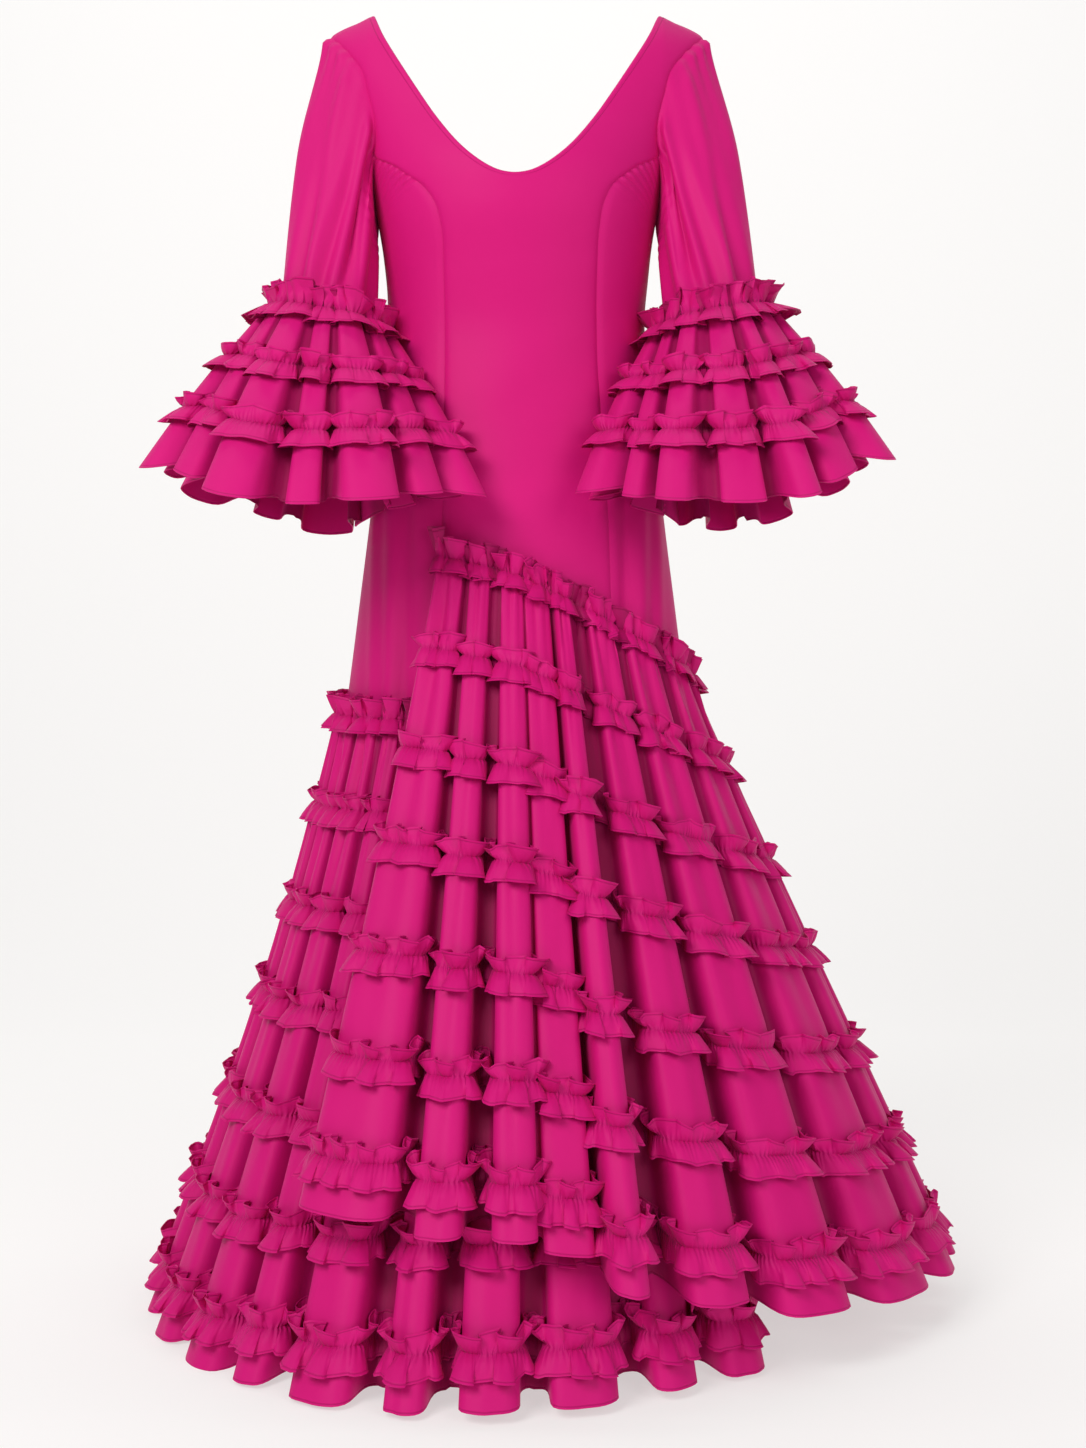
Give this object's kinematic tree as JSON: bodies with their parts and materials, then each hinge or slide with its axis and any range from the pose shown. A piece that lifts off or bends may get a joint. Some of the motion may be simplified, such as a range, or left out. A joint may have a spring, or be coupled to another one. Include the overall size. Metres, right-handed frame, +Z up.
{
  "type": "flamenco dress",
  "caption": "Floor-length flamenco dress, filled out as worn: princess-seamed bodice, ruffled bell sleeves and a spiral flounce skirt with gathered ruffles.",
  "frame": {"origin": "centre of the shoulder line, between the two neck points, where the wearer's shoulders carry the dress", "axes": "+Z up along the dress, -Y towards the front of the dress, +X towards the wearer's left"},
  "size_m": [0.8769, 0.853, 1.3853],
  "materials": {
    "dress_cloth": "plain fuchsia crepe-satin with a soft sheen",
    "ruffles": "the same cloth, gathered, with narrow pin hems",
    "binding": "turned self binding"
  },
  "bodies": {
    "root": {"front_centre": "dress_cloth", "front_side_right": "dress_cloth", "back_side_right": "dress_cloth", "back_centre_right": "dress_cloth", "front_side_left": "dress_cloth", "back_side_left": "dress_cloth", "back_centre_left": "dress_cloth", "neck_binding": "binding", "sleeve_right": "dress_cloth", "sleeve_bell_right": "dress_cloth", "sleeve_heading_right": "ruffles", "sleeve_upper_ruffle_right": "ruffles", "sleeve_lower_ruffle_right": "ruffles", "sleeve_left": "dress_cloth", "sleeve_bell_left": "dress_cloth", "sleeve_heading_left": "ruffles", "sleeve_upper_ruffle_left": "ruffles", "sleeve_lower_ruffle_left": "ruffles", "flounce_front": "dress_cloth", "flounce_left_side": "dress_cloth", "flounce_back_left": "dress_cloth", "flounce_back_right": "dress_cloth", "flounce_right_side": "dress_cloth", "flounce_under_front": "dress_cloth", "header_ruffle": "ruffles", "ruffle_1": "ruffles", "ruffle_2": "ruffles", "ruffle_3": "ruffles", "ruffle_4": "ruffles", "ruffle_5": "ruffles", "ruffle_6": "ruffles"}
  },
  "joints": []
}
